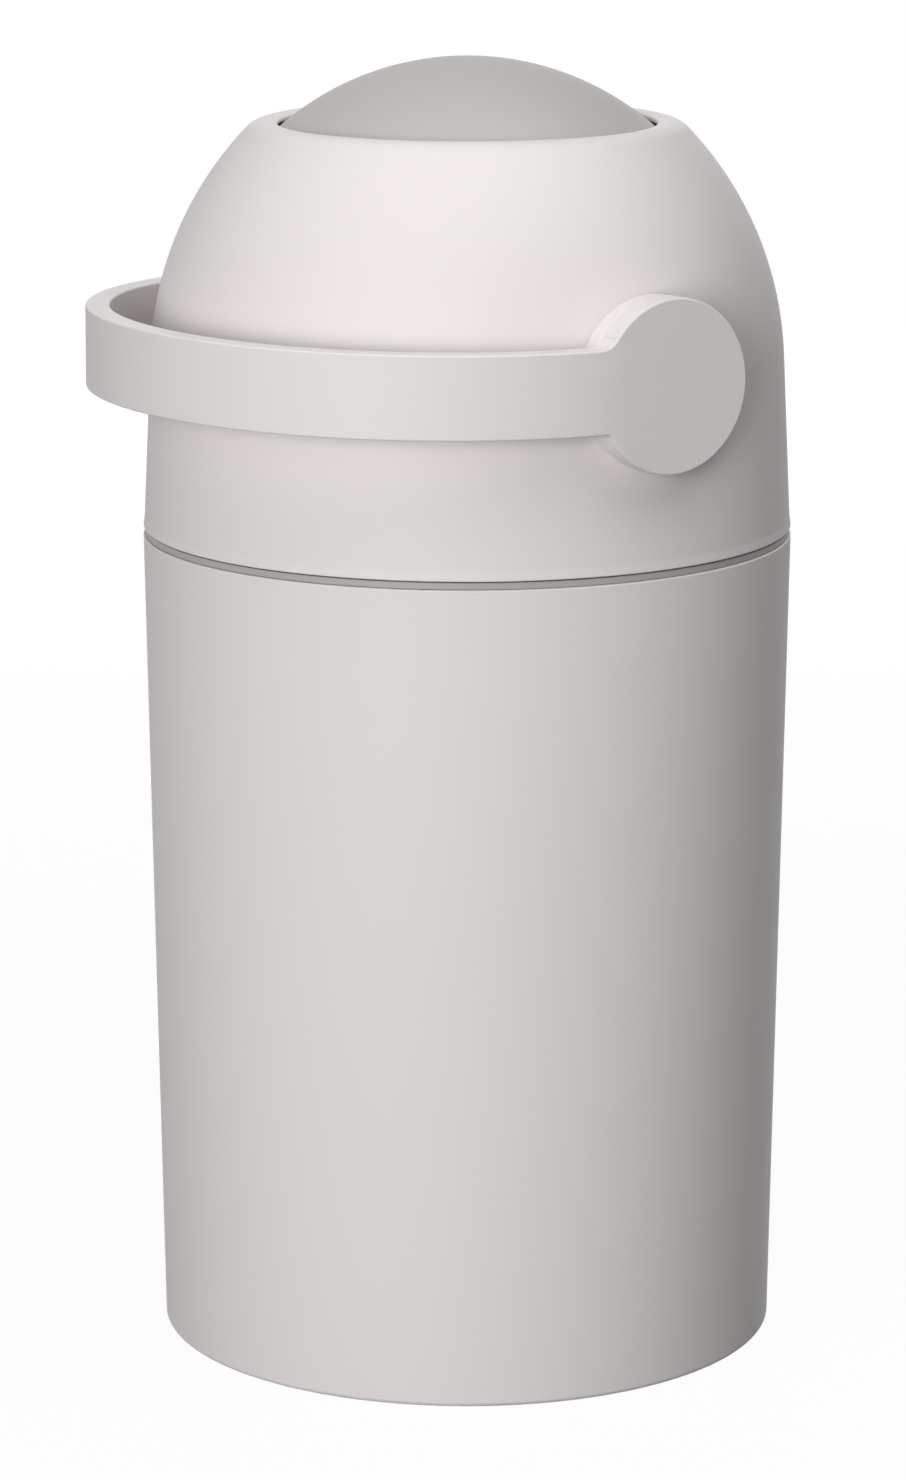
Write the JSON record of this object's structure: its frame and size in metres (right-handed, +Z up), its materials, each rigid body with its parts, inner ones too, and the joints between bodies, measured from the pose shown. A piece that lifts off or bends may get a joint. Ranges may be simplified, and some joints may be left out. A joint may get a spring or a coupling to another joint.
{
  "type": "nappy bin",
  "caption": "Tall round nappy bin with a domed head and a loop handle that turns a ball with a nappy pocket, so the used nappy drops into the bin.",
  "frame": {"origin": "centre of the standing ring, on the floor", "axes": "+Z up along the bin's axis, X along the handle's axle, the handle rests towards -Y"},
  "size_m": [0.2952, 0.2987, 0.5494],
  "materials": {
    "shell": "satin, fine grain, light warm grey",
    "ball": "smooth satin, warm grey",
    "band": "satin, mid grey",
    "inner": "moulded, plain",
    "seal": "soft rubber",
    "steel": "zinc plated"
  },
  "bodies": {
    "bin": {"bin_shell": "shell"},
    "ring": {"bag_ring": "band"},
    "head": {"head_shell": "shell", "head_plate": "inner", "plate_screws": "steel", "neck_gasket": "seal", "rim_seal": "seal", "rim_seal_ring": "inner", "plate_seal": "seal", "left_bush": "inner", "right_bush": "inner", "left_washer": "seal", "right_washer": "seal"},
    "ball": {"ball_dome": "ball", "ball_bowl": "ball", "nappy_pocket": "inner", "ball_screws": "steel", "pocket_screws": "steel", "left_spindle": "steel", "right_spindle": "steel", "spindle_screws": "steel", "handle": "shell"}
  },
  "joints": [
    {"name": "ring_lift", "type": "slide", "parent": "bin", "child": "ring", "axis": [0, 0, 1], "range_m": [0, 0.03]},
    {"name": "head_lift", "type": "slide", "parent": "ring", "child": "head", "axis": [0, 0, 1], "range_m": [0, 0.12]},
    {"name": "ball_turn", "type": "hinge", "parent": "head", "child": "ball", "pos_m": [0, 0, 0.4284], "axis": [-1, 0, 0], "range_deg": [0, 180]}
  ]
}
